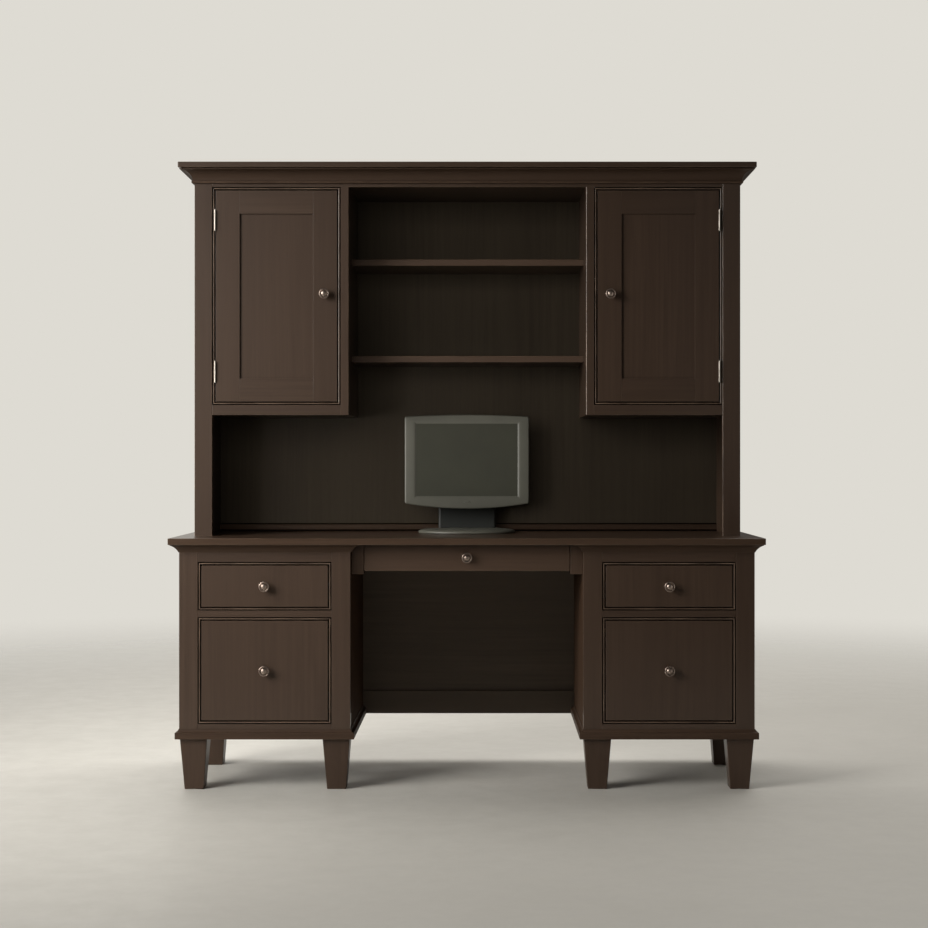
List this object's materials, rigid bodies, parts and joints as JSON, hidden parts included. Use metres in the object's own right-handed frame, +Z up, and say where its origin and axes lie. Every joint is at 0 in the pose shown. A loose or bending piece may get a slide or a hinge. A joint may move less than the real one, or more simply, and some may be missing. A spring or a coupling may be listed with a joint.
{
  "type": "computer workstation desk",
  "caption": "Dark-stained double-pedestal writing desk with drawers, an upper hutch with doors and open shelves, and a tilting flat-panel monitor.",
  "frame": {"origin": "on the floor, under the middle of the desk top", "axes": "+Z up, the front with the drawers faces -Y, +X to the right seen from the front"},
  "size_m": [1.807, 0.624, 1.929],
  "materials": {
    "stained_wood": "satin espresso stain",
    "drawer_wood": "clear lacquer",
    "knob_metal": "aged pewter bronze",
    "hinge_nickel": "satin nickel plate",
    "slide_steel": "zinc plate",
    "catch_plastic": "matte",
    "monitor_grey": "fine texture",
    "monitor_dark": "fine texture",
    "screen": "anti-glare film"
  },
  "bodies": {
    "carcass": {"base_mouldings": "stained_wood", "cabinet_bottoms": "stained_wood", "centre_drawer_cheeks": "stained_wood", "crown_moulding": "stained_wood", "desk_back_panel": "stained_wood", "desk_cove_mouldings": "stained_wood", "desk_top": "stained_wood", "door_catches": "catch_plastic", "door_opening_beads": "stained_wood", "drawer_opening_beads": "stained_wood", "drawer_slide_rails": "slide_steel", "hinge_frame_leaves": "hinge_nickel", "hutch_back_panel": "stained_wood", "hutch_base_strip": "stained_wood", "hutch_cap_board": "stained_wood", "hutch_ceiling": "stained_wood", "hutch_dividers": "stained_wood", "hutch_face_frame": "stained_wood", "hutch_shelves": "stained_wood", "hutch_sides": "stained_wood", "legs": "stained_wood", "modesty_base_rail": "stained_wood", "monitor_base": "monitor_grey", "monitor_column": "monitor_dark", "pedestal_bottoms": "stained_wood", "pedestal_face_frames": "stained_wood", "pedestal_inner_sides": "stained_wood", "pedestal_outer_sides": "stained_wood", "shelf_pins": "slide_steel"},
    "left_door": {"left_door_frame": "stained_wood", "left_door_hinge_leaves": "hinge_nickel", "left_door_knob": "knob_metal", "left_door_panel": "stained_wood"},
    "left_upper_drawer": {"left_upper_drawer_box": "drawer_wood", "left_upper_drawer_front": "stained_wood", "left_upper_drawer_knob": "knob_metal", "left_upper_drawer_slides": "slide_steel"},
    "left_lower_drawer": {"left_lower_drawer_box": "drawer_wood", "left_lower_drawer_front": "stained_wood", "left_lower_drawer_knob": "knob_metal", "left_lower_drawer_slides": "slide_steel"},
    "right_door": {"right_door_frame": "stained_wood", "right_door_hinge_leaves": "hinge_nickel", "right_door_knob": "knob_metal", "right_door_panel": "stained_wood"},
    "right_upper_drawer": {"right_upper_drawer_box": "drawer_wood", "right_upper_drawer_front": "stained_wood", "right_upper_drawer_knob": "knob_metal", "right_upper_drawer_slides": "slide_steel"},
    "right_lower_drawer": {"right_lower_drawer_box": "drawer_wood", "right_lower_drawer_front": "stained_wood", "right_lower_drawer_knob": "knob_metal", "right_lower_drawer_slides": "slide_steel"},
    "centre_drawer": {"centre_drawer_front": "stained_wood", "centre_drawer_box": "drawer_wood", "centre_drawer_knob": "knob_metal"},
    "monitor_head": {"monitor_bezel": "monitor_grey", "monitor_rear_housing": "monitor_dark", "monitor_screen": "screen"},
    "power_button": {"power_button": "monitor_grey"}
  },
  "joints": [
    {"name": "left_door_hinge", "type": "hinge", "parent": "carcass", "child": "left_door", "pos_m": [-0.7885, -0.1185, 1.516], "axis": [0, 0, -1], "range_deg": [0, 110]},
    {"name": "right_door_hinge", "type": "hinge", "parent": "carcass", "child": "right_door", "pos_m": [0.7885, -0.1185, 1.516], "axis": [0, 0, 1], "range_deg": [0, 110]},
    {"name": "left_upper_drawer_slide", "type": "slide", "parent": "carcass", "child": "left_upper_drawer", "axis": [0, -1, 0], "range_m": [0, 0.35]},
    {"name": "left_lower_drawer_slide", "type": "slide", "parent": "carcass", "child": "left_lower_drawer", "axis": [0, -1, 0], "range_m": [0, 0.35]},
    {"name": "right_upper_drawer_slide", "type": "slide", "parent": "carcass", "child": "right_upper_drawer", "axis": [0, -1, 0], "range_m": [0, 0.35]},
    {"name": "right_lower_drawer_slide", "type": "slide", "parent": "carcass", "child": "right_lower_drawer", "axis": [0, -1, 0], "range_m": [0, 0.35]},
    {"name": "centre_drawer_slide", "type": "slide", "parent": "carcass", "child": "centre_drawer", "axis": [0, -1, 0], "range_m": [0, 0.28]},
    {"name": "monitor_tilt", "type": "hinge", "parent": "carcass", "child": "monitor_head", "pos_m": [-0.0035, 0.2, 0.905], "axis": [-1, 0, 0], "range_deg": [-5, 20]},
    {"name": "power_button_press", "type": "slide", "parent": "monitor_head", "child": "power_button", "axis": [0, 1, 0], "range_m": [0, 0.0012], "stiffness_N_per_m": 500}
  ]
}
